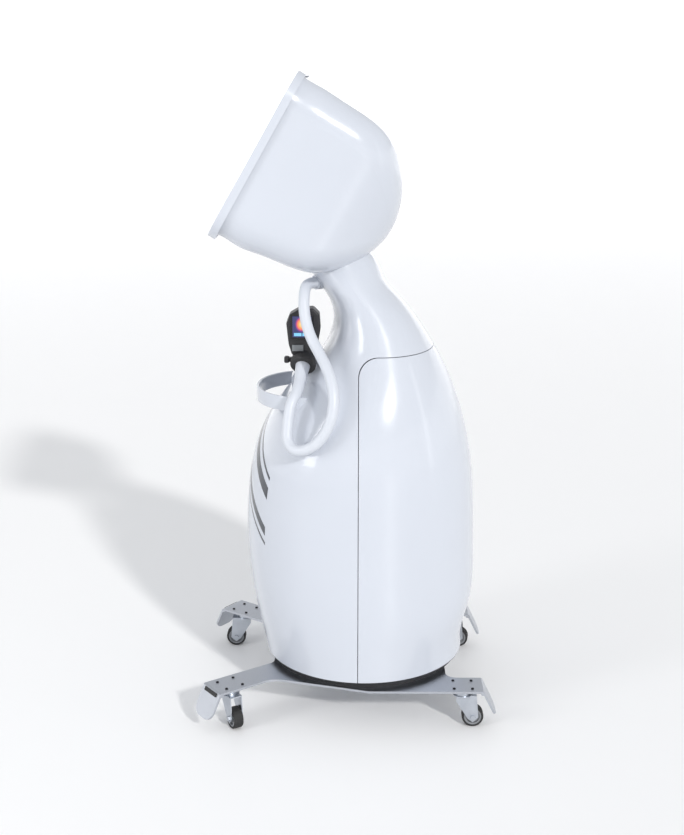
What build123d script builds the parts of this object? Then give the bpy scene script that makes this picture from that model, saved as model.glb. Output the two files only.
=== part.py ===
from build123d import *
import os
from math import cos, pi, radians, sin, tan

# Facial vapour machine on castors, in millimetres, +Z up.
# The origin is on the floor under the middle of the base, and the front faces -Y.

os.makedirs("parts", exist_ok=True)

# ---------------------------------------------------------------- driving dimensions
# base plate: an H of sheet steel, front arms splayed, rear arms parallel
sheet = 5.0
plate_top = 100.0
arm_width = 74.0
front_castor_x = 222.0
front_castor_y = -261.0
front_splay = 36.0
rear_castor_x = 224.0
rear_castor_y = 276.0
castor_to_fold = 44.0
fold_angle = 64.0
fold_length = 66.0
waist_half_width = 195.0
waist_y = -165.0
hub_setback = 36.0
hip_y = 60.0
front_arm_length = 190.0
rear_arm_length = 120.0
hollow_round = 24.0
waist_round = 50.0
flap_round = 26.0

# castors
wheel_radius = 25.0
tyre_width = 23.0
tyre_thickness = 5.0
trail = 24.0
hole_spacing = 42.0
screw_radius = 2.5
screw_head_radius = 3.4
screw_head_height = 1.6
castor_pad = 58.0
castor_pad_thickness = 3.0
race_radius = 19.0
race_height = 13.0
race_wall = 3.0
fork_wall = 2.5
axle_radius = 4.0
pin_radius = 5.0
pin_length = 22.0
pin_head_radius = 8.0
pin_head_height = 3.0
upper_race_height = 5.0
race_air = 1.5
running_gap = 0.05
side_gap = 1.0

# outer shell
shell_wall = 4.0
plinth_height = 15.0
shell_bottom = plate_top + plinth_height
plinth_inset = 11.0
ledge_inset = 1.5
ledge_thickness = 3.0
spigot_gap = 3.0
spigot_height = 10.0
plinth_wall = 8.0
seam_y = 34.0
seam_z = 857.0
seam_gap = 1.6
seam_corner = 45.0

# hood, measured in its own tilted frame: depth runs back from the opening
hood_tilt = 30.0
hood_centre_y = -190.5
hood_centre_z = 1292.7
hood_half_height = 198.0
hood_half_width = 190.0
hood_corner = 72.0
hood_wall = 5.0
rim_lip = 4.0
rim_depth = 12.0

# hose and handpiece
hose_radius = 12.5
cuff_length = 46.0
cuff_radius = 17.0
barrel_radius = 24.0
barrel_y = -94.0
barrel_z = 832.0
barrel_front_x = -55.0
barrel_rear_x = 92.0
collar_radius = 29.0
collar_length = 13.0
button_travel = 1.5
trigger_travel = 4.0

# holders on the front
hoop_half_width = 142.0
hoop_reach = 112.0
hoop_root_y = -92.0
hoop_bottom = 727.0
hoop_height = 33.0
hoop_wall = 6.0
saddle_gap = 0.5

# works inside
duct_radius = 30.0
duct_wall = 2.5
deck_low = 330.0
deck_high = 636.0
deck_half_x = 130.0
deck_front = -110.0
deck_back = 190.0
post = 20.0
clear = 0.3


def save(name, shape):
    """Write one named sub-part as its own STEP file."""
    solids = shape.solids()
    body = solids[0] if len(solids) == 1 else Compound(children=list(solids))
    body.label = name
    export_step(body, f"parts/{name}.step")


# ---------------------------------------------------------------- outer form of the body
# each row is height, front edge, back edge and half width of one oval section
form = [
    (shell_bottom, -188, 286, 250),
    (240, -214, 306, 263),
    (370, -229, 312, 271),
    (500, -227, 308, 270),
    (620, -206, 295, 259),
    (710, -163, 273, 238),
    (790, -97, 243, 204),
    (860, -42, 206, 168),
    (930, -24, 159, 138),
    (965, -34, 129, 125),
    (1000, -57, 98, 112),
    (1095, -110, 14, 84),
]


def body_form(inset):
    """Closed form of the body, smaller all round by the inset."""
    ovals = []
    for height, front, back, half_width in form:
        oval = Ellipse(half_width - inset, (back - front) / 2 - inset)
        ovals.append(Pos(0, (front + back) / 2, height) * oval)
    return loft(Sketch() + ovals)


body_outer = body_form(0)
body_inner = body_form(shell_wall)

# ---------------------------------------------------------------- outer form of the hood
hood_plane = Plane(
    origin=(0, hood_centre_y, hood_centre_z),
    x_dir=(1, 0, 0),
    z_dir=(0, cos(radians(hood_tilt)), -sin(radians(hood_tilt))),
)

# the sides taper gently to where the domed back begins
hood_depth = 345.0
dome_start = 168.0
top_taper = 7.0
bottom_taper = 22.0
side_taper = 8.0
dome_power = 1.12
dome_angles = (0, 20, 37, 52, 65, 75, 82)
dome_roundness = 0.96


def hood_outline(depth, shrink, inset):
    """Rounded outline of the hood at one depth, shrunk towards its middle by the dome."""
    share = min(depth / dome_start, 1)
    top = (hood_half_height - top_taper * share) * shrink - inset
    bottom = (-hood_half_height + bottom_taper * share) * shrink + inset
    half_width = (hood_half_width - side_taper * share) * shrink - inset
    squareness = hood_corner / min(hood_half_width, hood_half_height)
    squareness += (dome_roundness - squareness) * (1 - shrink)
    corner = squareness * min(half_width, (top - bottom) / 2)
    outline = RectangleRounded(2 * half_width, top - bottom, corner)
    return Pos(0, -(top + bottom) / 2, 0) * outline


def hood_solid(inset, mouth):
    """Closed form of the hood, smaller by an inset all round, starting at the mouth's depth."""
    rows = [hood_plane * Pos(0, 0, mouth) * hood_outline(0, 1, inset)]
    for depth in (dome_start / 3, 2 * dome_start / 3):
        rows.append(hood_plane * Pos(0, 0, depth) * hood_outline(depth, 1, inset))
    for angle in dome_angles:
        depth = dome_start + (hood_depth - dome_start - inset) * sin(radians(angle))
        shrink = cos(radians(angle)) ** dome_power
        rows.append(hood_plane * Pos(0, 0, depth) * hood_outline(dome_start, shrink, inset))
    return loft(Sketch() + rows)


hood_outer = hood_solid(0, 0)
hood_inner = hood_solid(hood_wall, -2)

# ---------------------------------------------------------------- base plate
def folded_end():
    """Arm end bent down round the sheet's thickness, starting at the origin, running along +Y."""
    flap = Pos(0, fold_length / 2, -sheet / 2) * Box(arm_width, fold_length, sheet)
    flap = fillet(flap.edges().filter_by(Axis.Z).group_by(Axis.Y)[-1], flap_round)
    bend = Rot(0, 90, 0) * Cylinder(sheet, arm_width)
    flap = Rot(-fold_angle, 0, 0) * Pos(0, 0, sheet) * flap
    return Pos(0, 0, plate_top - sheet) * (flap + bend)


def castor_seats():
    """Place and outward direction of the four castors, seen from above."""
    seats = []
    for side in (1, -1):
        seats.append((side * front_castor_x, front_castor_y, 180 + side * front_splay, "front"))
        seats.append((side * rear_castor_x, rear_castor_y, 0, "rear"))
    return seats


def screw_places():
    """Centres of the castor screws, one square of four for each castor."""
    places = []
    half = hole_spacing / 2
    for x, y, turn, _ in castor_seats():
        for across in (-half, half):
            for along in (-half, half):
                places.append(Pos(x, y, 0) * Rot(0, 0, turn) * Pos(across, along, 0))
    return places


def make_base_plate():
    """Hub of the plate, its four arms and their folded ends."""
    hub_back = rear_castor_y - hub_setback
    hip_half_width = rear_castor_x + arm_width / 2
    arm_side = rear_castor_x - arm_width / 2
    outline = Polygon(
        (-waist_half_width, waist_y), (waist_half_width, waist_y), (hip_half_width, hip_y),
        (hip_half_width, hub_back), (-hip_half_width, hub_back), (-hip_half_width, hip_y),
        align=None,
    )
    for x, y, turn, end in castor_seats():
        inward = front_arm_length if end == "front" else rear_arm_length
        arm = Pos(0, (castor_to_fold - inward) / 2, 0) * Rectangle(
            arm_width, castor_to_fold + inward
        )
        outline += Pos(x, y, 0) * Rot(0, 0, turn) * arm
    front_hollow = outline.vertices().filter_by_position(Axis.Y, waist_y - 1, waist_y + 1)
    outline = fillet(front_hollow, hollow_round)
    waist = outline.vertices().filter_by_position(Axis.Y, waist_y + 1, waist_y + 9)
    outline = fillet([v for v in waist if abs(v.X) > 0.9 * waist_half_width], waist_round)
    back_hollow = outline.vertices().filter_by_position(Axis.Y, hub_back - 1, hub_back + 1)
    outline = fillet([v for v in back_hollow if abs(v.X) < arm_side + 1], hollow_round)
    plate = Pos(0, 0, plate_top - sheet) * extrude(outline, sheet)
    for x, y, turn, _ in castor_seats():
        plate += Pos(x, y, 0) * Rot(0, 0, turn) * Pos(0, castor_to_fold, 0) * folded_end()
    for place in screw_places():
        plate -= place * Pos(0, 0, plate_top) * Cylinder(screw_radius + clear, 4 * sheet)
    return plate


base_plate = make_base_plate()
save("base_plate", base_plate)


def make_bump_strips():
    """Rubber guards that lie along the bends of the two front arms."""
    strips = []
    strip_length = 50
    strip_width = 9
    for x, y, turn, end in castor_seats():
        if end == "front":
            strip = Pos(0, strip_width / 2, sheet + 1) * Box(strip_length, strip_width, 2)
            strip = Pos(0, 0, plate_top - sheet) * Rot(-fold_angle, 0, 0) * strip
            strips.append(Pos(x, y, 0) * Rot(0, 0, turn) * Pos(0, castor_to_fold, 0) * strip)
    return Compound(children=strips)


save("bump_strips", make_bump_strips())

# ---------------------------------------------------------------- castors
# each castor trails at its own angle, as a machine that has just been rolled into place
castor_names = ["front_right", "rear_right", "front_left", "rear_left"]
trail_angles = [30.0, 90.0, -90.0, 82.0]
crown_z = plate_top - sheet - castor_pad_thickness - race_height
hub_radius = wheel_radius - tyre_thickness
fork_half = tyre_width / 2 + side_gap + fork_wall
inner_half = tyre_width / 2 + side_gap


def make_castor_pad():
    """Square top plate with the fixed upper race and the king pin below it."""
    pad_z = plate_top - sheet - castor_pad_thickness / 2
    pad = Pos(0, 0, pad_z) * Box(castor_pad, castor_pad, castor_pad_thickness)
    pad = fillet(pad.edges().filter_by(Axis.Z), 6)
    race_top = plate_top - sheet - castor_pad_thickness
    upper_z = race_top - upper_race_height / 2
    upper = Pos(0, 0, upper_z) * Cylinder(race_radius - race_wall - 1, upper_race_height)
    king_pin = Pos(0, 0, race_top - pin_length / 2) * Cylinder(pin_radius, pin_length)
    head_z = crown_z - fork_wall - pin_head_height
    pin_head = Pos(0, 0, head_z) * Cylinder(pin_head_radius, pin_head_height)
    pad += upper + king_pin + pin_head
    half = hole_spacing / 2
    for across in (-half, half):
        for along in (-half, half):
            hole = Cylinder(screw_radius + clear, 4 * castor_pad_thickness)
            pad -= Pos(across, along, pad_z) * hole
    return pad


def make_castor_fork():
    """Pressed fork that swivels: raised race, crown and two cheeks down to the axle."""
    crown = Pos(0, 0, crown_z - fork_wall / 2) * Cylinder(race_radius + 3, fork_wall)
    neck = Pos(trail / 2, 0, crown_z - fork_wall / 2) * Box(trail, 2 * fork_half, fork_wall)
    lower_height = race_height - upper_race_height - race_air
    race = Cylinder(race_radius, lower_height) - Cylinder(race_radius - race_wall, race_height)
    race = Pos(0, 0, crown_z + lower_height / 2) * race
    profile = Polygon(
        (-15, crown_z), (trail + 8, crown_z), (trail + 13, wheel_radius),
        (trail, wheel_radius - 12), (trail - 12, wheel_radius - 3), (-15, crown_z - 14),
        align=None,
    )
    cheeks = extrude(Plane.XZ * profile, fork_half, both=True)
    cheeks -= Pos(0, 0, crown_z - 50 - fork_wall) * Box(200, 2 * inner_half, 100)
    fork = crown + neck + race + cheeks
    fork -= Pos(0, 0, crown_z) * Cylinder(pin_radius + clear, 3 * fork_wall)
    fork -= Pos(trail, 0, wheel_radius) * Rot(90, 0, 0) * Cylinder(axle_radius, 4 * fork_half)
    return fork


def make_castor_axle():
    """Axle bolt with a hexagon head and nut outside the cheeks."""
    shaft = Rot(90, 0, 0) * Cylinder(axle_radius, 2 * fork_half)
    head = extrude(RegularPolygon(6.5, 6), 3.5)
    outer = Rot(90, 0, 0) * Pos(0, 0, fork_half) * head
    inner = Rot(-90, 0, 0) * Pos(0, 0, fork_half) * head
    return Pos(trail, 0, wheel_radius) * (shaft + outer + inner)


def make_castor_hub():
    """Moulded hub with a running bore, dished on both sides."""
    hub = Cylinder(hub_radius, tyre_width - 2)
    dish = Cylinder(hub_radius - 4, 4) - Cylinder(8, 4)
    for side in (1, -1):
        hub -= Pos(0, 0, side * (tyre_width / 2 - 3)) * dish
    hub -= Cylinder(axle_radius + running_gap, 2 * tyre_width)
    return Pos(trail, 0, wheel_radius) * Rot(90, 0, 0) * hub


def make_castor_tyre():
    """Rubber tyre with rounded shoulders, bonded round the hub."""
    tyre = Cylinder(wheel_radius, tyre_width)
    tyre = fillet(tyre.edges().filter_by(GeomType.CIRCLE), 3)
    tyre -= Cylinder(hub_radius, 2 * tyre_width)
    return Pos(trail, 0, wheel_radius) * Rot(90, 0, 0) * tyre


castor_pads = []
for name, angle, seat in zip(castor_names, trail_angles, castor_seats()):
    seat_x, seat_y, seat_turn, _ = seat
    swivelled = Pos(seat_x, seat_y, 0) * Rot(0, 0, angle)
    castor_pads.append(Pos(seat_x, seat_y, 0) * Rot(0, 0, seat_turn) * make_castor_pad())
    save(f"castor_fork_{name}", swivelled * make_castor_fork())
    save(f"castor_axle_{name}", swivelled * make_castor_axle())
    save(f"castor_hub_{name}", swivelled * make_castor_hub())
    save(f"castor_tyre_{name}", swivelled * make_castor_tyre())
save("castor_pads", Compound(children=castor_pads))


def make_castor_screws():
    """Pan-head screws that hold the castors, with nuts under the pads."""
    grip = sheet + castor_pad_thickness
    shank = Pos(0, 0, plate_top - grip / 2) * Cylinder(screw_radius, grip)
    head_z = plate_top + screw_head_height / 2
    head = Pos(0, 0, head_z) * Cylinder(screw_head_radius, screw_head_height)
    nut = Pos(0, 0, plate_top - grip - 3) * extrude(RegularPolygon(4.5, 6), 3)
    screw = shank + head + nut
    return Compound(children=[place * screw for place in screw_places()])


save("castor_screws", make_castor_screws())

# ---------------------------------------------------------------- plinth and shells
shell_front = form[0][1]
shell_back = form[0][2]
shell_half_width = form[0][3]
shell_middle = (shell_front + shell_back) / 2
shell_half_length = (shell_back - shell_front) / 2


def plinth_oval(inset, bottom, height):
    """Oval block under the shell, smaller than the shell's foot by the inset."""
    oval = Ellipse(shell_half_width - inset, shell_half_length - inset)
    return Pos(0, shell_middle, bottom) * extrude(oval, height)


plinth_floor = plate_top + 6
plinth = plinth_oval(plinth_inset, plate_top, shell_bottom - plate_top)
plinth += plinth_oval(ledge_inset, shell_bottom - ledge_thickness, ledge_thickness)
plinth += plinth_oval(shell_wall + spigot_gap, shell_bottom, spigot_height)
plinth -= plinth_oval(plinth_inset + plinth_wall, plinth_floor, 60)
save("base_tray", plinth)


def cover_region(shrink):
    """Region behind the seam and below its top, rounded at the corner, across the whole width."""
    back = 400
    foot = -10
    front = seam_y + shrink
    top = seam_z - shrink
    middle_y = (front + back) / 2
    middle_z = (foot + top) / 2
    block = Pos(0, middle_y, middle_z) * Box(900, back - front, top - foot)
    corner = block.edges().filter_by(Axis.X).group_by(Axis.Z)[-1].sort_by(Axis.Y)[0]
    return fillet(corner, seam_corner)


shell = body_outer - body_inner
inlet_window_z = 178.0
window_half_x = 50.0
window_half_z = 32.0
hood_port_y = 10.0
rear_cover = shell & cover_region(seam_gap / 2)
window = Pos(0, shell_back, inlet_window_z) * Box(2 * window_half_x, 120, 2 * window_half_z)
window = fillet(window.edges().filter_by(Axis.Y), 8)
rear_cover -= window
save("rear_cover", rear_cover)

gland_x = 31.0
gland_y = -49.0
gland_z = 1005.0
gland_axis = Vector(0.66, -0.75, 0.02).normalized()
gland_plane = Plane(origin=(gland_x, gland_y, gland_z), z_dir=gland_axis)
hose_wall = 3.0
gland_bore = hose_radius - hose_wall
gland_length = 1.6 * hose_radius
gland_wall = 4.0
gland_depth = 16.0

front_shell = shell - cover_region(-seam_gap / 2)
front_shell -= hood_outer
front_shell -= gland_plane * Pos(0, 0, -20) * Cylinder(hose_radius + 1, 60)
save("front_shell", front_shell)

# magnetic catches either side of the seam, two heights on each side
catch_z = [260, 560]
catch_depth = 16.0
catch_height = 30.0


def wall_block(y_from, y_to, z, height, thickness, side):
    """Block that lies against the inside of the shell wall between two y planes."""
    slab = Pos(side * 200, (y_from + y_to) / 2, z) * Box(300, y_to - y_from, height)
    return (slab & body_form(shell_wall)) - body_form(shell_wall + thickness)


front_catches = []
rear_catches = []
for z in catch_z:
    for side in (1, -1):
        keeper = wall_block(seam_y - catch_depth, seam_y - clear, z, catch_height, 10, side)
        magnet = wall_block(seam_y + seam_gap, seam_y + catch_depth, z, catch_height, 10, side)
        front_catches += keeper.solids()
        rear_catches += magnet.solids()
save("catch_keepers", Compound(children=front_catches))
save("catch_magnets", Compound(children=rear_catches))

# ---------------------------------------------------------------- hood
port_drop = 75.0
port_height = 130.0
port_z = hood_centre_z - hood_half_height - port_drop
port_cut = Pos(0, hood_port_y, port_z) * Cylinder(duct_radius + clear, port_height)
hood_shell = hood_outer - hood_inner - port_cut
save("hood_shell", hood_shell)


def rim_frame(outset, inset, start, depth):
    """Rounded frame round the opening, between two depths."""
    outer = RectangleRounded(
        2 * (hood_half_width + outset), 2 * (hood_half_height + outset), hood_corner + outset
    )
    inner = RectangleRounded(
        2 * (hood_half_width - inset), 2 * (hood_half_height - inset), hood_corner - inset
    )
    return hood_plane * Pos(0, 0, start) * extrude(outer - inner, depth)


hood_rim = rim_frame(rim_lip, hood_wall + 3, -6, 6)
hood_rim += rim_frame(rim_lip, -clear, 0, rim_depth) - hood_outer
save("hood_rim", hood_rim)

outlet_foot = 1000.0
outlet_top = 1078.0
outlet = Pos(0, hood_port_y, (outlet_foot + outlet_top) / 2) * (
    Cylinder(duct_radius, outlet_top - outlet_foot)
    - Cylinder(duct_radius - duct_wall, outlet_top - outlet_foot)
)
grille = Pos(0, hood_port_y, outlet_top - 1.5) * Cylinder(duct_radius - duct_wall, 3)
for ring in (9, 17, 25):
    slot = Cylinder(ring, 6) - Cylinder(ring - 5, 6)
    slot -= Box(200, 5, 6) + Box(5, 200, 6)
    grille -= Pos(0, hood_port_y, outlet_top - 1.5) * slot
save("vapour_outlet", outlet + grille)

ring_z = 985.0
ring_thickness = 5.0
neck_slab = Pos(0, 0, ring_z + ring_thickness / 2) * Box(500, 500, ring_thickness)
neck_ring = (neck_slab & body_form(shell_wall)) - Pos(0, hood_port_y, ring_z) * Cylinder(
    duct_radius + clear, 40
)
neck_ring -= gland_plane * Pos(0, 0, -20) * Cylinder(hose_radius + 8, 60)
save("neck_ring", neck_ring)

# ---------------------------------------------------------------- riser duct
riser_y = 60.0
duct_path = FilletPolyline(
    (0, riser_y, deck_high), (0, riser_y, 760), (0, hood_port_y, 972),
    (0, hood_port_y, outlet_foot), radius=80,
)


def duct_tube(radius):
    """Round bar along the riser's path."""
    start = Plane(origin=duct_path @ 0, z_dir=duct_path % 0)
    return sweep(start * Circle(radius), path=duct_path)


riser_duct = duct_tube(duct_radius) - duct_tube(duct_radius - duct_wall)
flange_radius = 58.0
riser_flange = Pos(0, riser_y, deck_high + 3) * Cylinder(flange_radius, 6)
riser_duct += riser_flange - duct_tube(duct_radius - duct_wall)
save("riser_duct", riser_duct)

# ---------------------------------------------------------------- works inside
tank_middle = (deck_front + deck_back) / 2 - 10
feed_x = 60.0
pipe_y = tank_middle - 60
pipe_radius = 5.0


def make_chassis():
    """Welded frame: four posts, a lower deck and an upper deck."""
    deck_length = deck_back - deck_front
    deck_middle = (deck_back + deck_front) / 2
    frame = None
    for z in (deck_low, deck_high):
        deck = Pos(0, deck_middle, z - 2) * Box(2 * deck_half_x, deck_length, 4)
        frame = deck if frame is None else frame + deck
    height = deck_high - plinth_floor
    for x in (-1, 1):
        for y in (deck_front + post / 2, deck_back - post / 2):
            leg = Box(post, post, height) - Box(post - 4, post - 4, height)
            place = Pos(x * (deck_half_x - post / 2), y, plinth_floor + height / 2)
            frame += place * leg
    frame -= Pos(0, riser_y, deck_high) * Cylinder(duct_radius - duct_wall, 20)
    frame -= Pos(feed_x, pipe_y, deck_low) * Cylinder(pipe_radius + 1, 20)
    return frame


save("chassis_frame", make_chassis())

tank_height = 150.0
tank_x = 190.0
tank_y = 200.0
tank_block = Pos(0, tank_middle, plinth_floor + tank_height / 2) * Box(tank_x, tank_y, tank_height)
tank_block = fillet(tank_block.edges(), 14)
tank_hollow = Pos(0, tank_middle, plinth_floor + tank_height / 2) * Box(
    tank_x - 6, tank_y - 6, tank_height - 6
)
tank_hollow = fillet(tank_hollow.edges(), 11)
tank_top = plinth_floor + tank_height
neck_y = tank_middle + 50
neck_outer = Pos(0, neck_y, tank_top + 5) * Cylinder(22, 16)
neck_bore = Pos(0, neck_y, tank_top) * Cylinder(18, 40)
water_tank = tank_block + neck_outer - tank_hollow - neck_bore
water_tank -= Pos(feed_x, pipe_y, tank_top) * Cylinder(pipe_radius, 20)
save("water_tank", water_tank)

cap = Pos(0, neck_y, tank_top + 13 + 3) * Cylinder(27, 6)
cap += Pos(0, neck_y, tank_top + 8) * (Cylinder(27, 12) - Cylinder(22 + clear, 12))
for turn in range(0, 360, 20):
    cap -= Pos(0, neck_y, tank_top + 8) * Rot(0, 0, turn) * Pos(28.5, 0, 0) * Cylinder(2.5, 40)
save("tank_cap", cap)

# feed pipe from the tank, up through the lower deck and into the boiler's side
boiler_x = 50.0
boiler_y = 62.0
boiler_radius = 60.0
boiler_height = 150.0
feed_z = deck_low + 40
feed_run = FilletPolyline(
    (feed_x, pipe_y, tank_top - 100), (feed_x, pipe_y, feed_z),
    (feed_x, boiler_y - boiler_radius + 6, feed_z), radius=16,
)
feed_pipe = sweep(Plane(origin=feed_run @ 0, z_dir=feed_run % 0) * Circle(pipe_radius), path=feed_run)
save("feed_pipe", feed_pipe)

# boiler: closed pot with a steam pipe up to the mixing box
mixing_z = deck_high - 74
mixing_size = (200.0, 130.0, 70.0)
steam_radius = 16.0
boiler_z = deck_low + boiler_height / 2
boiler = Pos(boiler_x, boiler_y, boiler_z) * Cylinder(boiler_radius, boiler_height)
boiler = fillet(boiler.edges().filter_by(GeomType.CIRCLE), 10)
pipe_foot = deck_low + boiler_height - 4
steam_z = (pipe_foot + mixing_z) / 2
boiler -= Pos(boiler_x, boiler_y, boiler_z) * Cylinder(boiler_radius - 3, boiler_height - 8)
boiler += Pos(boiler_x, boiler_y, steam_z) * Cylinder(steam_radius, mixing_z - pipe_foot)
boiler -= Pos(boiler_x, boiler_y, steam_z) * Cylinder(steam_radius - 3, mixing_z - pipe_foot + 20)
boiler -= feed_pipe
save("boiler", boiler)

coil_z = deck_low + 18
coil_ring = Pos(boiler_x, boiler_y, coil_z) * Torus(40, 4)
coil_legs = Pos(boiler_x + 40, boiler_y, deck_low + 4 + (coil_z - deck_low - 4) / 2) * Cylinder(
    4, coil_z - deck_low - 4
)
save("heater_element", coil_ring + coil_legs)

# blower: scroll housing with an impeller on the shaft of a motor, blowing up a chute
blower_x = -68.0
blower_y = 10.0
blower_radius = 54.0
blower_height = 60.0
chute_x = blower_x + 20
chute_y = blower_y + 34
chute_side = 40.0
blower_z = deck_low + 60 + blower_height / 2
scroll = Pos(blower_x, blower_y, blower_z) * Cylinder(blower_radius, blower_height)
chute_foot = blower_z - blower_height / 2 + 20
chute_z = (chute_foot + mixing_z) / 2
chute_height = mixing_z - chute_foot
chute = Pos(chute_x, chute_y, chute_z) * Box(chute_side, chute_side, chute_height)
hollow = Pos(blower_x, blower_y, blower_z) * Cylinder(blower_radius - 3, blower_height - 6)
chute_hollow = Pos(chute_x, chute_y, chute_z + 3) * Box(chute_side - 6, chute_side - 6, chute_height)
blower = scroll + chute - hollow - chute_hollow
blower -= Pos(blower_x, blower_y - 8, blower_z + blower_height / 2) * Cylinder(24, 12)
blower -= Pos(blower_x, blower_y, blower_z - blower_height / 2) * Cylinder(6, 12)
save("blower_housing", blower)

# mixing box hung under the upper deck: air and steam come in below and leave up the riser
mixing_middle = Pos(0, riser_y, mixing_z + mixing_size[2] / 2)
mixing_box = mixing_middle * Box(*mixing_size)
mixing_box -= mixing_middle * Box(mixing_size[0] - 6, mixing_size[1] - 6, mixing_size[2] - 6)
mixing_box -= Pos(0, riser_y, mixing_z + mixing_size[2]) * Cylinder(duct_radius - duct_wall, 20)
mixing_box -= Pos(boiler_x, boiler_y, mixing_z) * Cylinder(steam_radius - 3, 20)
mixing_box -= Pos(chute_x, chute_y, mixing_z) * Box(chute_side - 6, chute_side - 6, 20)
save("mixing_box", mixing_box)

motor_radius = 32.0
motor_height = blower_z - blower_height / 2 - deck_low
shaft_radius = 4.0
motor = Pos(blower_x, blower_y, deck_low + motor_height / 2) * Cylinder(motor_radius, motor_height)
shaft_top = blower_z + 14
shaft_length = shaft_top - deck_low - motor_height
shaft_middle = shaft_top - shaft_length / 2
motor += Pos(blower_x, blower_y, shaft_middle) * Cylinder(shaft_radius, shaft_length)
save("blower_motor", motor)

impeller_radius = 46.0
impeller_height = 36.0
impeller_boss = Pos(0, 0, impeller_height / 2) * Cylinder(9, impeller_height)
impeller = Cylinder(impeller_radius, 3) + impeller_boss
for turn in range(0, 360, 30):
    blade = Pos(impeller_radius - 11, 0, impeller_height / 2) * Rot(0, 0, 30) * Box(
        16, 2, impeller_height
    )
    impeller += Rot(0, 0, turn) * blade
impeller -= Cylinder(shaft_radius + running_gap, 4 * impeller_height)
impeller_foot = blower_z - blower_height / 2 + 6
save("impeller", Pos(blower_x, blower_y, impeller_foot) * impeller)

supply_size = (88.0, 106.0, 45.0)
supply = Pos(-76, -50, deck_high + supply_size[2] / 2) * Box(*supply_size)
supply = fillet(supply.edges().filter_by(Axis.Z), 4)
save("power_supply", supply)

board_x = 78.0
board_y = -52.0
board_lift = 7.0
board = Pos(board_x, board_y, deck_high + board_lift + 0.8) * Box(84, 104, 1.6)
for x, y, width, height in ((-12, -20, 28, 5), (14, 18, 20, 9), (-20, 26, 16, 7)):
    chip = Box(width, width, height)
    board += Pos(board_x + x, board_y + y, deck_high + board_lift + 1.6 + height / 2) * chip
for x in (-36, 36):
    for y in (-46, 46):
        board += Pos(board_x + x, board_y + y, deck_high + board_lift / 2) * Cylinder(3, board_lift)
save("control_board", board)

# ---------------------------------------------------------------- mains panel behind its window
panel_y = 253.0
panel_thickness = 3.0
panel_edge = 2.0
bar_lift = 24.0
inlet_x = -18.0
inlet_size = (34.0, 28.0)
switch_x = 26.0
switch_size = (24.0, 30.0)
socket_depth = 22.0
panel = Pos(0, panel_y, inlet_window_z) * Box(
    2 * (window_half_x - panel_edge), panel_thickness, 2 * (window_half_z - panel_edge)
)
bracket_length = panel_y - deck_back
inlet_hole = Pos(inlet_x, panel_y, inlet_window_z) * Box(inlet_size[0], 20, inlet_size[1])
switch_hole = Pos(switch_x, panel_y, inlet_window_z) * Box(switch_size[0], 20, switch_size[1])
for x in (-1, 1):
    arm_x = x * (deck_half_x - post / 2)
    panel += Pos(arm_x, deck_back + bracket_length / 2, inlet_window_z + bar_lift) * Box(
        post, bracket_length, 4
    )
panel += Pos(0, panel_y, inlet_window_z + bar_lift) * Box(2 * deck_half_x, panel_thickness, 12)
panel -= inlet_hole + switch_hole
save("inlet_panel", panel)

inlet = Pos(inlet_x, panel_y - 8, inlet_window_z) * Box(
    inlet_size[0] - 2 * clear, socket_depth, inlet_size[1] - 2 * clear
)
inlet += Pos(inlet_x, panel_y + 2.5, inlet_window_z) * Box(inlet_size[0] + 8, 2, inlet_size[1] + 6)
inlet -= Pos(inlet_x, panel_y, inlet_window_z) * Box(inlet_size[0] - 9, 20, inlet_size[1] - 10)
for x, z in ((-7, -4), (7, -4), (0, 4)):
    inlet += Pos(inlet_x + x, panel_y - 8, inlet_window_z + z) * Box(2, 14, 5)
save("mains_inlet", inlet)

switch_place = Pos(switch_x, panel_y, inlet_window_z)
switch_frame = switch_place * Pos(0, -8, 0) * Box(
    switch_size[0] - 2 * clear, socket_depth, switch_size[1] - 2 * clear
)
switch_frame += switch_place * Pos(0, 2.5, 0) * Box(switch_size[0] + 4, 2, switch_size[1] + 6)
switch_frame -= switch_place * Box(switch_size[0] - 6, 24, switch_size[1] - 4)
rocker_pin_radius = 1.5
pin = switch_place * Rot(0, 90, 0) * Cylinder(rocker_pin_radius, switch_size[0] - 1)
save("switch_frame", switch_frame + pin)

rocker_width = switch_size[0] - 7
rocker = switch_place * Box(rocker_width, 8, switch_size[1] - 8)
rocker += switch_place * Pos(0, 5, 7) * Box(rocker_width, 4, 7)
rocker -= switch_place * Rot(0, 90, 0) * Cylinder(rocker_pin_radius + running_gap, 40)
save("power_switch", rocker)

# ---------------------------------------------------------------- holders on the front
hoop_outer = Ellipse(hoop_half_width, hoop_reach)
hoop_inner = Ellipse(hoop_half_width - hoop_wall, hoop_reach - hoop_wall)
hoop = Pos(0, hoop_root_y, hoop_bottom) * extrude(hoop_outer - hoop_inner, hoop_height)
hoop = fillet(hoop.edges().filter_by(GeomType.ELLIPSE), 2)
hoop = hoop - body_outer
hoop = hoop.solids().sort_by(Axis.Y)[0]
save("holder_hoop", hoop)

saddle_x = (8.0, 66.0)
saddle_profile = Polygon(
    (barrel_y - 10, barrel_z - 20), (barrel_y + 22, barrel_z - 6), (barrel_y + 30, barrel_z - 34),
    (barrel_y + 8, 744), (barrel_y - 22, 742), (barrel_y - 26, barrel_z - 44),
    align=None,
)
saddle_face = Plane.YZ.offset(saddle_x[0]) * saddle_profile
saddle = extrude(saddle_face, saddle_x[1] - saddle_x[0], dir=(1, 0, 0))
saddle = fillet(saddle.edges().filter_by(Axis.X), 4)
barrel_axis = Pos(0, barrel_y, barrel_z) * Rot(0, 90, 0)
saddle -= barrel_axis * Cylinder(barrel_radius + saddle_gap, 400)
saddle = (saddle - body_outer).solids().sort_by(SortBy.VOLUME)[-1]
save("handpiece_saddle", saddle)

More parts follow.
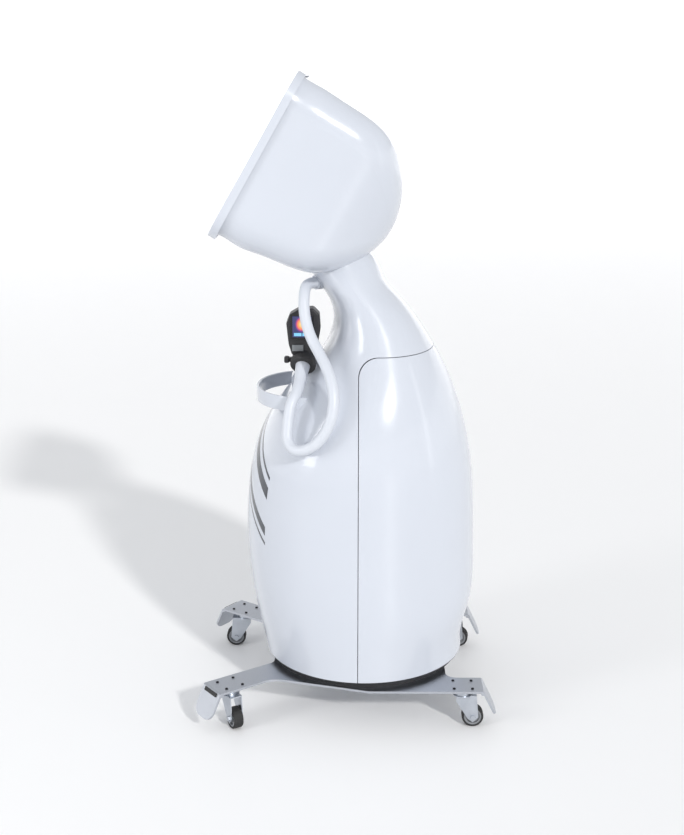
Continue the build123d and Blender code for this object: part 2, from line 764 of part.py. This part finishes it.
# ---------------------------------------------------------------- handpiece
collar_axis = Vector(0.80, -0.12, -0.58).normalized()
collar_face = Vector(104, barrel_y + 2, 824)
collar_plane = Plane(origin=collar_face, z_dir=collar_axis)
head_outline = Polygon(
    (barrel_y - 22, 846), (barrel_y - 30, 872), (barrel_y - 35, 920), (barrel_y - 27, 940),
    (barrel_y - 8, 951), (barrel_y + 26, 954), (barrel_y + 40, 940), (barrel_y + 42, 905),
    (barrel_y + 36, 872), (barrel_y + 22, 846),
    align=None,
)
head_back_x = 50.0
head_front_x = 96.0
head_round = 9.0


def make_handpiece_shell():
    """Barrel lying across the machine, screen head above its end and the hose elbow below."""
    length = barrel_rear_x - barrel_front_x
    middle = (barrel_rear_x + barrel_front_x) / 2
    barrel = barrel_axis * Pos(0, 0, middle) * Cylinder(barrel_radius, length)
    barrel = fillet(barrel.edges().filter_by(GeomType.CIRCLE), 6)
    head_face = Plane.YZ.offset(head_back_x) * head_outline
    head = extrude(head_face, head_front_x - head_back_x, dir=(1, 0, 0))
    head = fillet(head.edges().filter_by(Axis.X), head_round)
    head = fillet(head.faces().sort_by(Axis.X)[-1].edges(), 4)
    head = fillet(head.faces().sort_by(Axis.X)[0].edges(), 6)
    elbow = collar_plane * Pos(0, 0, -collar_length - 14) * Cylinder(barrel_radius, 28)
    return barrel + head + elbow


screen_y = (barrel_y - 26, barrel_y + 27)
screen_z = (884.0, 940.0)
screen_middle_y = (screen_y[0] + screen_y[1]) / 2
screen_middle_z = (screen_z[0] + screen_z[1]) / 2
screen_width = screen_y[1] - screen_y[0]
screen_height = screen_z[1] - screen_z[0]
pocket_depth = 4.0
button_z = 864.0
button_y = barrel_y - 9
button_size = (26.0, 15.0)
trigger_x = 78.0
trigger_z = 834.0
trigger_block = (16.0, 15.0)

screen_pocket = Pos(head_front_x, screen_middle_y, screen_middle_z) * Box(
    2 * pocket_depth, screen_width, screen_height
)
button_pocket = Pos(head_front_x, button_y, button_z) * Box(
    4 * pocket_depth, button_size[0], button_size[1]
)
trigger_pocket = Pos(trigger_x, barrel_y - barrel_radius, trigger_z) * Box(
    trigger_block[0] - 4, 16, trigger_block[1] - 4
)
collar_seat = collar_plane * Pos(0, 0, 20 - collar_length) * Cylinder(collar_radius, 40)
handpiece_shell = make_handpiece_shell() - screen_pocket - button_pocket - trigger_pocket
handpiece_shell -= collar_seat
handpiece_shell -= barrel_axis * Pos(0, 0, barrel_front_x) * Cylinder(15, 24)
save("handpiece_shell", handpiece_shell)

bezel_outer = Pos(head_front_x - pocket_depth + 1.5, screen_middle_y, screen_middle_z) * Box(
    3, screen_width - 2 * clear, screen_height - 2 * clear
)
bezel_hole = Pos(head_front_x, screen_middle_y, screen_middle_z) * Box(
    20, screen_width - 10, screen_height - 8
)
save("screen_bezel", bezel_outer - bezel_hole)
screen = Pos(head_front_x - pocket_depth + 1.25, screen_middle_y, screen_middle_z) * Box(
    2.5, screen_width - 10 - 2 * clear, screen_height - 8 - 2 * clear
)
save("screen", screen)

button = Pos(head_front_x - 2, button_y, button_z) * Box(
    2 * pocket_depth, button_size[0] - 2 * clear, button_size[1] - 2 * clear
)
button = fillet(button.faces().sort_by(Axis.X)[-1].edges(), 1)
save("menu_button", button)

trigger_stem = Pos(trigger_x, barrel_y - barrel_radius - 1, trigger_z) * Box(
    trigger_block[0] - 4 - 2 * clear, 8, trigger_block[1] - 4 - 2 * clear
)
trigger_pad = Pos(trigger_x, barrel_y - barrel_radius - trigger_travel - 7, trigger_z) * Box(
    trigger_block[0], 12, trigger_block[1]
)
trigger_pad = fillet(trigger_pad.edges(), 4)
trigger_neck = Pos(trigger_x, barrel_y - barrel_radius - trigger_travel, trigger_z) * Box(10, 8, 8)
save("trigger", trigger_stem + trigger_neck + trigger_pad)

collar_ring = Cylinder(collar_radius, collar_length) - Cylinder(cuff_radius - 4, 2 * collar_length)
collar_ring = fillet(collar_ring.edges().group_by(Axis.Z)[-1], 3)
save("hose_collar", collar_plane * Pos(0, 0, -collar_length / 2) * collar_ring)

cuff = Cone(cuff_radius - 0.5, hose_radius, cuff_length)
cuff -= Cylinder(hose_radius - hose_wall, 2 * cuff_length)
save("hose_cuff", collar_plane * Pos(0, 0, cuff_length / 2) * cuff)

nozzle_length = 62.0
nozzle = Cone(19, 10, nozzle_length) + Pos(0, 0, -nozzle_length / 2 - 5) * Cylinder(15 - clear, 10)
nozzle -= Cylinder(6, 4 * nozzle_length)
save("nozzle", Pos(barrel_front_x - nozzle_length / 2, barrel_y, barrel_z) * Rot(0, -90, 0) * nozzle)

# ---------------------------------------------------------------- hose
# A limp ribbed-free hose: out of the gland, over the handpiece's side, down round the flank
# and back up to the cuff.
gland_span = gland_length + gland_depth
gland_middle = (gland_length - gland_depth) / 2
gland = gland_plane * Pos(0, 0, gland_middle) * Cylinder(hose_radius + gland_wall, gland_span)
gland -= body_outer
gland += gland_plane * Pos(0, 0, -5) * Cylinder(hose_radius + 0.7, 14)
gland -= gland_plane * Cylinder(gland_bore, 200)
save("hose_gland", gland)

hose_start = gland_plane.origin + gland_axis * gland_length
hose_end = collar_face + collar_axis * cuff_length
route = [
    hose_start,
    hose_start + gland_axis * 24,
    (97, -88, 992),
    (120, -88, 948),
    (141, -75, 902),
    (169, -52, 866),
    (202, -32, 834),
    (230, -19, 792),
    (247, -22, 744),
    (253, -40, 702),
    (250, -68, 672),
    (236, -104, 660),
    (214, -124, 676),
    (200, -122, 716),
    (186, -116, 758),
    hose_end + collar_axis * 32,
    hose_end,
]


def corner_radii(points):
    """Radius of each corner: 0.45 of its shorter run over the tangent of half the turn."""
    radii = []
    for before, here, after in zip(points, points[1:], points[2:]):
        run_in = Vector(here) - Vector(before)
        run_out = Vector(after) - Vector(here)
        half_turn = radians(run_in.get_angle(run_out)) / 2
        radii.append(0.45 * min(run_in.length, run_out.length) / tan(half_turn))
    return radii


hose_radii = corner_radii(route)
hose_path = FilletPolyline(*route, radius=hose_radii)
hose = sweep(Plane(origin=hose_path @ 0, z_dir=hose_path % 0) * Circle(hose_radius), path=hose_path)
save("hose", hose)

if __name__ == "__main__":
    print("hose radii", [round(r, 1) for r in hose_radii])
    print("hose length", round(hose_path.length, 1))
    expected = pi * hose_radius**2 * hose_path.length
    print("hose volume over section times length", round(hose.volume / expected, 5))
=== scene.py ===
import bmesh
import bpy
from math import cos, radians, sin
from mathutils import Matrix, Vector


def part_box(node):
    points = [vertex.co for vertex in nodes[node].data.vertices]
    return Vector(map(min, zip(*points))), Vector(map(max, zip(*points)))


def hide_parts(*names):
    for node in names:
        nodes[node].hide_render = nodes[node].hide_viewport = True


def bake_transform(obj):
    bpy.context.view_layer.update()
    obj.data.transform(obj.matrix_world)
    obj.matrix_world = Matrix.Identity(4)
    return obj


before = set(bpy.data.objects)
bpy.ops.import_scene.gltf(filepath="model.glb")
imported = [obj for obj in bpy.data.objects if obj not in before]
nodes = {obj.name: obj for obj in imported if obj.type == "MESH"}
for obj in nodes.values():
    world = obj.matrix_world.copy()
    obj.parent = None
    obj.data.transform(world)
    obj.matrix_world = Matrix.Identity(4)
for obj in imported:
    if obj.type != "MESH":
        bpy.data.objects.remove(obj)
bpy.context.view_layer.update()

# ---------------------------------------------------------------- camera
# A camera on the handpiece side, level with the top of the hood and looking down at the machine.
camera_place = Vector((3.0671, 0.0281, 1.4784))
look_down = radians(14.64)
look_aside = radians(0.607)
sight = Vector((
    -cos(look_down) * cos(look_aside),
    -cos(look_down) * sin(look_aside),
    -sin(look_down),
))
camera_data = bpy.data.cameras.new("camera")
camera_data.lens = 57.93
camera_data.sensor_width = 36
camera = bpy.data.objects.new("camera", camera_data)
camera.location = camera_place
camera.rotation_euler = sight.to_track_quat("-Z", "Y").to_euler()
bpy.context.scene.collection.objects.link(camera)
bpy.context.scene.camera = camera


# ---------------------------------------------------------------- hose
# A soft white silicone hose of 25 mm that carries vapour and air to the handpiece.
# It leaves the gland on the neck, hangs down the flank in one loop and ends in the cuff.
# Gland and cuff are moulded of the same silicone.
class Value:
    """A socket of a finish's nodes: arithmetic on it adds Math nodes."""

    def __init__(self, finish, socket):
        self.finish = finish
        self.socket = socket

    def math(self, operation, first, second):
        return self.finish.node("Math", {"operation": operation}, {0: first, 1: second})

    def __add__(self, other):
        return self.math("ADD", self, other)

    def __radd__(self, other):
        return self.math("ADD", other, self)

    def __sub__(self, other):
        return self.math("SUBTRACT", self, other)

    def __rsub__(self, other):
        return self.math("SUBTRACT", other, self)

    def __mul__(self, other):
        return self.math("MULTIPLY", self, other)

    def __rmul__(self, other):
        return self.math("MULTIPLY", other, self)

    def __truediv__(self, other):
        return self.math("DIVIDE", self, other)

    def __abs__(self):
        return self.math("ABSOLUTE", self, 0)

    def __lt__(self, other):
        return self.math("LESS_THAN", self, other)


class Finish:
    """One procedural material, built round its Principled shader."""

    def __init__(self, name, **constants):
        self.material = bpy.data.materials.new(name)
        self.material.use_nodes = True
        self.tree = self.material.node_tree
        self.shader = self.tree.nodes["Principled BSDF"]
        for socket, value in constants.items():
            self.set(socket.replace("_", " "), value)
        self.place = self.node("TexCoord", output="Object")

    def node(self, kind, settings=None, inputs=None, output=0):
        """Any node: its settings first, then the values or links of its sockets."""
        made = self.tree.nodes.new("ShaderNode" + kind)
        for key, value in (settings or {}).items():
            if key == "stops":
                for stop, (position, tint) in zip(self.stops(made, len(value)), value):
                    stop.position = position
                    stop.color = tint
            else:
                setattr(made, key, value)
        for key, value in (inputs or {}).items():
            self.plug(made.inputs[key], value)
        return Value(self, made.outputs[output])

    def stops(self, ramp, count):
        """The stops of a colour ramp, as many as are needed."""
        while len(ramp.color_ramp.elements) < count:
            ramp.color_ramp.elements.new(1)
        return ramp.color_ramp.elements

    def plug(self, socket, value):
        if isinstance(value, Value):
            self.tree.links.new(value.socket, socket)
        else:
            socket.default_value = value

    def set(self, socket, value):
        """Sets or links one socket of the shader."""
        self.plug(self.shader.inputs[socket], value)

    def noise(self, scale, detail=2.0, stretch=(1, 1, 1)):
        """Noise on the piece's own coordinates, stretched along an axis where that is wanted."""
        placed = self.node("Mapping", None, {"Vector": self.place, "Scale": stretch})
        inputs = {"Vector": placed, "Scale": scale, "Detail": detail}
        return self.node("TexNoise", None, inputs)

    def mix(self, share, first, second):
        """Mix of two colours."""
        return self.node(
            "Mix", {"data_type": "RGBA"}, {0: share, 6: first, 7: second}, output=2
        )

    def bump(self, height, strength, distance):
        """Feeds the shader's normal with a height."""
        inputs = {"Height": height, "Strength": strength, "Distance": distance}
        self.set("Normal", self.node("Bump", None, inputs))


def colour(red, green, blue):
    """A colour with full opacity."""
    return (red, green, blue, 1)


def dress(finish, *names):
    """Puts a finish on CAD pieces."""
    for name in names:
        for slot in nodes[name].material_slots:
            slot.material = finish.material


def hose_finish():
    """Soft white silicone with a faint bloom and handling marks."""
    finish = Finish("hose_silicone", Roughness=0.38, Subsurface_Weight=0.08)
    finish.set("Subsurface Radius", (0.01, 0.01, 0.01))
    bloom = finish.noise(14, 4)
    finish.set("Base Color", finish.mix(bloom, colour(0.58, 0.61, 0.665), colour(0.63, 0.66, 0.715)))
    finish.set("Roughness", 0.30 + 0.18 * finish.noise(60, 3))
    finish.bump(finish.noise(900, 2), 0.08, 0.0004)
    return finish


gland_place = Vector((0.031, -0.049, 1.005))
gland_axis = Vector((0.66, -0.75, 0.02)).normalized()
collar_place = Vector((0.104, -0.092, 0.824))
collar_axis = Vector((0.80, -0.12, -0.58)).normalized()
gland_length = 0.020
cuff_length = 0.046
hose_diameter = 0.025
hose_start = gland_place + gland_axis * gland_length
hose_end = collar_place + collar_axis * cuff_length
hose_route = [
    hose_start,
    hose_start + gland_axis * 0.024,
    Vector((0.097, -0.088, 0.992)),
    Vector((0.120, -0.088, 0.948)),
    Vector((0.141, -0.075, 0.902)),
    Vector((0.169, -0.052, 0.866)),
    Vector((0.202, -0.032, 0.834)),
    Vector((0.230, -0.019, 0.792)),
    Vector((0.247, -0.022, 0.744)),
    Vector((0.253, -0.040, 0.702)),
    Vector((0.250, -0.068, 0.672)),
    Vector((0.236, -0.104, 0.660)),
    Vector((0.214, -0.124, 0.676)),
    Vector((0.200, -0.122, 0.716)),
    Vector((0.186, -0.116, 0.758)),
    hose_end + collar_axis * 0.032,
    hose_end,
]


def route_curve(name, points, bevel):
    """Smooth curve with the route's points as its control points."""
    data = bpy.data.curves.new(name, "CURVE")
    data.dimensions = "3D"
    spline = data.splines.new("NURBS")
    spline.points.add(len(points) - 1)
    for control, point in zip(spline.points, points):
        control.co = (*point, 1)
    spline.order_u = 3
    spline.use_endpoint_u = True
    data.resolution_u = 12
    data.bevel_depth = bevel
    data.bevel_resolution = 8
    curve = bpy.data.objects.new(name, data)
    bpy.context.scene.collection.objects.link(curve)
    return curve


def mesh_of(curve, name):
    """Plain mesh of a curve, which is then removed."""
    bpy.context.view_layer.update()
    evaluated = curve.evaluated_get(bpy.context.evaluated_depsgraph_get())
    mesh = bpy.data.meshes.new_from_object(evaluated)
    mesh.name = name
    bpy.data.objects.remove(curve)
    return mesh


def add_piece(name, mesh, finish):
    """New object with one finish, at the origin, smooth shaded."""
    piece = bpy.data.objects.new(name, mesh)
    bpy.context.scene.collection.objects.link(piece)
    mesh.materials.clear()
    mesh.materials.append(finish.material)
    mesh.polygons.foreach_set("use_smooth", [True] * len(mesh.polygons))
    return piece


hose_line = mesh_of(route_curve("hose_line", hose_route, 0), "hose_line")
hose_mesh = mesh_of(route_curve("hose_tube", hose_route, hose_diameter / 2), "hose_tube")
silicone = hose_finish()
hose_piece = add_piece("vapour_hose", hose_mesh, silicone)
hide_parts("hose")
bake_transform(hose_piece)
dress(silicone, "hose_gland", "hose_cuff")


# ---------------------------------------------------------------- base plate
# Steel sheet of five millimetres, laser cut, folded down at the four arm ends and brushed
# across the machine.
def brushed_finish(name, tint, grain, roughness):
    """Steel brushed along one direction, with fine streaks in its gloss and colour."""
    finish = Finish(name, Metallic=1.0)
    streaks = finish.noise(40, 6, grain)
    cloud = finish.noise(7, 3)
    light = [min(1, channel * 1.22) for channel in tint]
    finish.set("Base Color", finish.mix(streaks, colour(*tint), colour(*light)))
    finish.set("Roughness", roughness + 0.14 * streaks + 0.08 * cloud)
    finish.bump(streaks, 0.12, 0.0003)
    return finish


steel = brushed_finish("brushed_plate", (0.46, 0.48, 0.52), (1, 26, 26), 0.22)
dress(steel, "base_plate")


# ---------------------------------------------------------------- bend guards
# Two strips of black rubber glued along the bends of the front arms, where they meet
# door frames and skirtings first.
def rubber_finish(name, shade):
    """Black rubber with a fine grain and pale dust."""
    finish = Finish(name)
    dust = finish.noise(45, 5)
    finish.set("Base Color", finish.mix(
        dust, colour(shade, shade, shade * 1.05), colour(shade * 2.6, shade * 2.6, shade * 2.7)
    ))
    finish.set("Roughness", 0.62 + 0.25 * dust)
    finish.bump(finish.noise(1400, 2), 0.25, 0.0004)
    return finish


soft_rubber = rubber_finish("soft_rubber", 0.018)
dress(soft_rubber, "bump_strips")

# ---------------------------------------------------------------- castors
# Zinc-plated pressed forks on a ball race, with grey hubs and black rubber tyres, held by
# four black-oxide screws each.
castors = ["front_right", "rear_right", "front_left", "rear_left"]


def zinc_finish():
    """Zinc plating: a soft bluish metal with cloudy passivation."""
    finish = Finish("zinc_plating", Metallic=1.0)
    cloud = finish.noise(38, 5)
    spangle = finish.node("TexVoronoi", None, {"Vector": finish.place, "Scale": 260.0})
    finish.set("Base Color", finish.mix(cloud, colour(0.42, 0.45, 0.50), colour(0.63, 0.66, 0.71)))
    finish.set("Roughness", 0.26 + 0.16 * cloud + 0.06 * spangle)
    finish.bump(spangle, 0.06, 0.0004)
    return finish


def hub_finish():
    """Grey moulded nylon."""
    finish = Finish("hub_nylon", Specular_IOR_Level=0.45)
    grain = finish.noise(420, 3)
    finish.set("Base Color", finish.mix(
        finish.noise(25, 3), colour(0.20, 0.21, 0.225), colour(0.27, 0.28, 0.30)
    ))
    finish.set("Roughness", 0.42 + 0.18 * grain)
    finish.bump(grain, 0.15, 0.0003)
    return finish


zinc = zinc_finish()
hub_nylon = hub_finish()
tyre_rubber = rubber_finish("tyre_rubber", 0.012)
dress(zinc, "castor_pads")
dress(brushed_finish("black_oxide", (0.02, 0.02, 0.024), (6, 6, 6), 0.38), "castor_screws")
for name in castors:
    dress(zinc, f"castor_fork_{name}", f"castor_axle_{name}")
    dress(hub_nylon, f"castor_hub_{name}")
    dress(tyre_rubber, f"castor_tyre_{name}")


# ---------------------------------------------------------------- base tray
# Black moulded tray between the steel plate and the shells, which stand on its ledge.
# It has a fine spark grain.
def moulded_finish(name, shade, gloss):
    """Moulded plastic with a spark grain; a larger gloss is smoother."""
    finish = Finish(name)
    grain_height = 0.0004
    grain = finish.noise(1100, 3)
    wear = finish.noise(18, 4)
    finish.set("Base Color", finish.mix(
        wear, colour(*shade), colour(*[channel * 1.5 + 0.004 for channel in shade])
    ))
    finish.set("Roughness", (0.75 - 0.6 * gloss) + 0.10 * wear)
    finish.bump(grain, 0.3 * (1 - gloss) + 0.02, grain_height)
    return finish


black_moulding = moulded_finish("black_moulding", (0.013, 0.013, 0.015), 0.3)
dress(black_moulding, "base_tray")


# ---------------------------------------------------------------- chassis
# Welded square tube and deck plates with a dark powder coat. The neck ring on top, which
# carries the hood, has the same coat.
def powder_finish():
    """Powder coat with its orange-peel skin."""
    finish = Finish("powder_coat")
    peel = finish.noise(260, 2)
    finish.set("Base Color", finish.mix(peel, colour(0.085, 0.088, 0.095), colour(0.12, 0.124, 0.132)))
    finish.set("Roughness", 0.40 + 0.12 * peel)
    finish.bump(peel, 0.2, 0.0006)
    return finish


powder = powder_finish()
dress(powder, "chassis_frame", "neck_ring")

# ---------------------------------------------------------------- catches
# Zinc-plated keepers and magnets in black moulded cases, four of each, which hold the rear
# cover by their pull alone.
dress(zinc, "catch_keepers")
dress(black_moulding, "catch_magnets")

# ---------------------------------------------------------------- mains panel
# Powder-coated panel behind the window in the rear cover, with a moulded mains inlet and a
# gloss black rocker switch in its frame.
gloss_black = moulded_finish("gloss_black", (0.006, 0.006, 0.008), 0.95)
dress(powder, "inlet_panel")
dress(black_moulding, "mains_inlet", "switch_frame")
dress(gloss_black, "power_switch")


# ---------------------------------------------------------------- water tank and feed
# Blow-moulded milky tank with a black ribbed cap. A feed pipe of the hose's silicone runs
# up to the boiler.
def tank_finish():
    """Milky polyethylene that lets some light through."""
    finish = Finish("tank_polyethylene", Subsurface_Weight=0.25)
    finish.set("Subsurface Radius", (0.02, 0.02, 0.02))
    flow = finish.noise(10, 3, (1, 1, 4))
    finish.set("Base Color", finish.mix(flow, colour(0.66, 0.70, 0.73), colour(0.76, 0.79, 0.81)))
    finish.set("Roughness", 0.42 + 0.15 * flow)
    finish.bump(finish.noise(300, 2), 0.1, 0.0005)
    return finish


dress(tank_finish(), "water_tank")
dress(black_moulding, "tank_cap")
dress(silicone, "feed_pipe")

# ---------------------------------------------------------------- boiler
# Spun stainless pot with its steam pipe on top, and a ring element of bare copper inside
# its foot.
stainless = brushed_finish("spun_stainless", (0.50, 0.51, 0.53), (26, 26, 1), 0.18)
element = brushed_finish("element_copper", (0.55, 0.27, 0.14), (1, 1, 8), 0.32)
dress(stainless, "boiler")
dress(element, "heater_element")

# ---------------------------------------------------------------- blower
# A grey nylon impeller on the shaft of a powder-coated motor, inside a black moulded
# scroll.
dress(black_moulding, "blower_housing")
dress(powder, "blower_motor")
dress(hub_nylon, "impeller")


# ---------------------------------------------------------------- ducts
# Aluminium sheet with faint rolling lines: mixing box, riser and the outlet grille in the
# hood's floor.
def aluminium_finish():
    """Mill-finish aluminium with faint rolling lines."""
    finish = Finish("mill_aluminium", Metallic=1.0)
    lines = finish.noise(55, 4, (20, 20, 1))
    finish.set("Base Color", finish.mix(lines, colour(0.58, 0.59, 0.61), colour(0.70, 0.71, 0.73)))
    finish.set("Roughness", 0.30 + 0.14 * lines)
    finish.bump(lines, 0.08, 0.0003)
    return finish


aluminium = aluminium_finish()
dress(aluminium, "mixing_box", "riser_duct", "vapour_outlet")


# ---------------------------------------------------------------- power supply and control board
# A power supply in a case of the ducts' aluminium, and a green glass-fibre board with its
# weave under the lacquer.
def board_finish():
    """Solder-masked board with a weave under the green."""
    finish = Finish("green_board", Coat_Weight=0.3)
    weave = finish.noise(500, 2, (1, 6, 1))
    finish.set("Base Color", finish.mix(weave, colour(0.01, 0.12, 0.05), colour(0.02, 0.19, 0.08)))
    finish.set("Roughness", 0.35 + 0.15 * weave)
    return finish


dress(aluminium, "power_supply")
dress(board_finish(), "control_board")


# ---------------------------------------------------------------- shells
# Two vacuum-formed shells in gloss white: the front one carries the neck, and the rear one
# pulls off its catches.
white_low = (0.55, 0.58, 0.64)
white_high = (0.585, 0.617, 0.68)


def gloss_white(name):
    """Gloss white plastic: a faint drift of tone, polish haze and a soft orange peel."""
    finish = Finish(name, Coat_Weight=0.55, Coat_Roughness=0.05, Specular_IOR_Level=0.5)
    drift = finish.noise(3.2, 3)
    haze = finish.noise(22, 5)
    finish.drift = finish.mix(drift, colour(*white_low), colour(*white_high))
    finish.set("Base Color", finish.drift)
    finish.set("Roughness", 0.16 + 0.10 * haze)
    finish.bump(finish.noise(120, 1), 0.035, 0.0008)
    return finish


def split(finish, vector):
    """The three values of a vector."""
    first = finish.node("SeparateXYZ", None, {0: vector})
    return [Value(finish, socket) for socket in first.socket.node.outputs]


def stripe(across, centre, half):
    """One inside a band of a coordinate, zero outside."""
    return abs(across - centre) < half


def front_finish():
    """Gloss white with four plain slanting bars printed across the front."""
    finish = gloss_white("front_shell_white")
    x, y, z = split(finish, finish.place)
    outward = split(finish, finish.node("TexCoord", output="Normal"))
    front_half = y < -0.02
    outer_face = outward[1] < 0
    slope = 0.9
    half_width = 0.158
    # each bar: its height on the middle line and half its width up the body
    thin_high = stripe(z + slope * x, 0.715, 0.004)
    wide_high = stripe(z + slope * x, 0.680, 0.014)
    wide_low = stripe(z + slope * x, 0.590, 0.011)
    thin_low = stripe(z + slope * x, 0.560, 0.004)
    bars = thin_high + wide_high + wide_low + thin_low
    printed = bars * stripe(x, 0.0, half_width) * front_half * outer_face
    ink = colour(0.025, 0.032, 0.045)
    finish.set("Base Color", finish.mix(printed, finish.drift, ink))
    return finish


shell_white = gloss_white("shell_white")
dress(front_finish(), "front_shell")
dress(shell_white, "rear_cover")

# ---------------------------------------------------------------- hood
# Deep moulded hood in the same gloss white, with a rolled rim pressed over its edge and a
# port for the vapour in its floor.
dress(shell_white, "hood_shell", "hood_rim")

# ---------------------------------------------------------------- holders
# A hoop across the front for towels, and the saddle that the handpiece rests in, both of
# the shells' white.
dress(shell_white, "holder_hoop", "handpiece_saddle")

# ---------------------------------------------------------------- handpiece
# Black moulding with a screen at its hose end, a grey button, a finger trigger, a rubber
# collar where the hose joins and a steel nozzle.
grip_black = moulded_finish("grip_black", (0.010, 0.010, 0.012), 0.62)
button_grey = moulded_finish("button_grey", (0.16, 0.17, 0.18), 0.35)
dress(grip_black, "handpiece_shell", "trigger")
dress(gloss_black, "screen_bezel")
dress(button_grey, "menu_button")
dress(rubber_finish("collar_rubber", 0.016), "hose_collar")
dress(stainless, "nozzle")


def screen_finish():
    """Lit display: a warm glow on deep blue over a level bar of two segments."""
    low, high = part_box("screen")
    middle = (low + high) / 2
    size = high - low
    finish = Finish("lit_screen", Roughness=0.08, Coat_Weight=1.0)
    finish.set("Base Color", colour(0.01, 0.01, 0.02))
    _, y, z = split(finish, finish.place)
    across = (y - middle.y) / size.y
    up = (z - middle.z) / size.z
    glow_aside = across + 0.02
    glow_up = up - 0.12
    flattening = 1.2
    glow_reach = 0.17
    distance = glow_aside * glow_aside * flattening + glow_up * glow_up
    warmth = finish.node("MapRange", None, {0: distance, 1: 0.0, 2: glow_reach, 3: 1.0, 4: 0.0})
    ramp_stops = [
        (0.0, colour(0.008, 0.012, 0.12)), (0.30, colour(0.07, 0.012, 0.22)),
        (0.55, colour(0.70, 0.06, 0.14)), (0.8, colour(1.0, 0.34, 0.06)),
        (1.0, colour(1.0, 0.72, 0.28)),
    ]
    picture = finish.node("ValToRGB", {"stops": ramp_stops}, {0: warmth})
    bar_height = stripe(up, -0.37, 0.075)
    bar_segments = stripe(abs(across), 0.225, 0.2)
    bar = bar_height * bar_segments
    shown = finish.mix(bar, picture, colour(0.20, 0.62, 0.90))
    finish.set("Emission Color", shown)
    finish.set("Emission Strength", 1.1)
    return finish


dress(screen_finish(), "screen")


# ---------------------------------------------------------------- floor and light
# A plain pale floor inside a round wall of backlit cloth, a soft sun over the camera's right
# shoulder and two tall soft boxes for the gloss.
def floor_finish():
    """Pale seamless floor and wall with a faint gloss."""
    finish = Finish("pale_floor", Specular_IOR_Level=0.25)
    finish.set("Base Color", colour(0.92, 0.92, 0.922))
    finish.set("Roughness", 0.34 + 0.08 * finish.noise(5, 2))
    return finish


stage_radius = 15.0
stage_segments = 96
floor_depth = 0.02
wall_height = 3.6


def add_stage(name, ends, depth, rise, finish):
    """Round floor, which keeps its top face alone, or the round wall on its edge."""
    stage_mesh = bmesh.new()
    bmesh.ops.create_cone(
        stage_mesh, cap_ends=ends, segments=stage_segments,
        radius1=stage_radius, radius2=stage_radius, depth=depth,
    )
    if ends:
        below = [face for face in stage_mesh.faces if face.calc_center_median().z < depth / 4]
        bmesh.ops.delete(stage_mesh, geom=below, context="FACES")
    bmesh.ops.translate(stage_mesh, verts=stage_mesh.verts, vec=(0, 0, rise))
    data = bpy.data.meshes.new(name)
    stage_mesh.to_mesh(data)
    stage_mesh.free()
    stage = add_piece(name, data, finish)
    return stage


def wall_finish():
    """Backlit white cloth that stays paler than the floor's shadows."""
    finish = Finish("backlit_cloth", Specular_IOR_Level=0.0)
    finish.set("Base Color", colour(0.9, 0.9, 0.905))
    finish.set("Roughness", 0.85 + 0.05 * finish.noise(2, 2))
    finish.set("Emission Color", colour(1, 1, 1))
    finish.set("Emission Strength", 0.38)
    return finish


add_stage("floor", True, floor_depth, -floor_depth / 2, floor_finish())
surround_wall = add_stage("surround_wall", False, wall_height, wall_height / 2, wall_finish())
surround_wall.visible_shadow = False


def add_sun(name, direction, angle, strength, tint):
    """Far light that falls along a direction, as soft as its angle."""
    data = bpy.data.lights.new(name, "SUN")
    data.angle = radians(angle)
    data.energy = strength
    data.color = tint
    light = bpy.data.objects.new(name, data)
    light.rotation_euler = Vector(direction).to_track_quat("-Z", "Y").to_euler()
    bpy.context.scene.collection.objects.link(light)


def add_strip(name, place, target, width, height, power):
    """Tall soft box that draws a clean highlight down the gloss."""
    data = bpy.data.lights.new(name, "AREA")
    data.shape = "RECTANGLE"
    data.size = width
    data.size_y = height
    data.energy = power
    light = bpy.data.objects.new(name, data)
    light.location = place
    light.rotation_euler = (Vector(target) - Vector(place)).to_track_quat("-Z", "Y").to_euler()
    bpy.context.scene.collection.objects.link(light)


body_middle = (0, 0, 0.8)
add_sun("key", direction=(-1.94, -1.07, -1.25), angle=4.0, strength=1.75, tint=(1.0, 0.985, 0.965))
add_strip("rear_strip", (0.9, 3.6, 1.5), body_middle, width=0.35, height=2.4, power=3)
add_strip("front_strip", (2.0, -3.2, 2.0), body_middle, width=0.9, height=2.2, power=34)
world = bpy.data.worlds.new("surround")
world.use_nodes = True
world.node_tree.nodes["Background"].inputs["Color"].default_value = (0.95, 0.97, 1.0, 1)
world.node_tree.nodes["Background"].inputs["Strength"].default_value = 0.66
bpy.context.scene.world = world
bpy.context.scene.view_settings.view_transform = "Standard"
